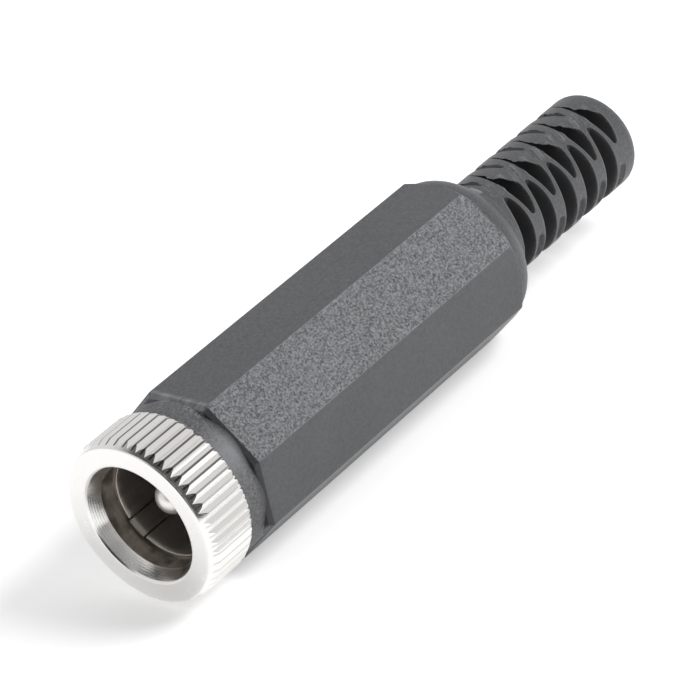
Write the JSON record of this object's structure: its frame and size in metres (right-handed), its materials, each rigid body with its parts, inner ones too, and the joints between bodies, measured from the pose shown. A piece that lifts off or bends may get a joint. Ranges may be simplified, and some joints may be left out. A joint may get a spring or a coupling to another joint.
{
  "type": "dc barrel jack",
  "caption": "In-line DC power jack: knurled metal front with a centre pin in a round socket, and a black octagonal screw-on cover ending in a slotted strain-relief boot.",
  "frame": {"origin": "centre of the flat mating face at the front, on the jack's axis", "axes": "+X along the axis towards the cable, -X out of the mouth; +Z out of one flat of the octagon"},
  "size_m": [0.0433, 0.01, 0.01],
  "materials": {
    "plated_front": "nickel-plated turned brass, satin",
    "spring_contact": "nickel-plated spring bronze",
    "insulator": "moulded black",
    "plated_pin": "nickel-plated turned brass, polished",
    "tinned_terminal": "tinned sheet brass",
    "fibre": "red-brown vulcanised fibre",
    "cover_plastic": "black moulding with a fine grain"
  },
  "bodies": {
    "jack": {"front_bushing": "plated_front", "sleeve_contact": "spring_contact", "pin_insulator": "insulator", "centre_pin": "plated_pin", "sleeve_terminal": "tinned_terminal", "insulating_washer": "fibre", "centre_terminal": "tinned_terminal"},
    "cover": {"cover": "cover_plastic"}
  },
  "joints": [
    {"name": "cover_off", "type": "slide", "parent": "jack", "child": "cover", "axis": [1, 0, 0], "range_m": [0, 0.025]}
  ]
}
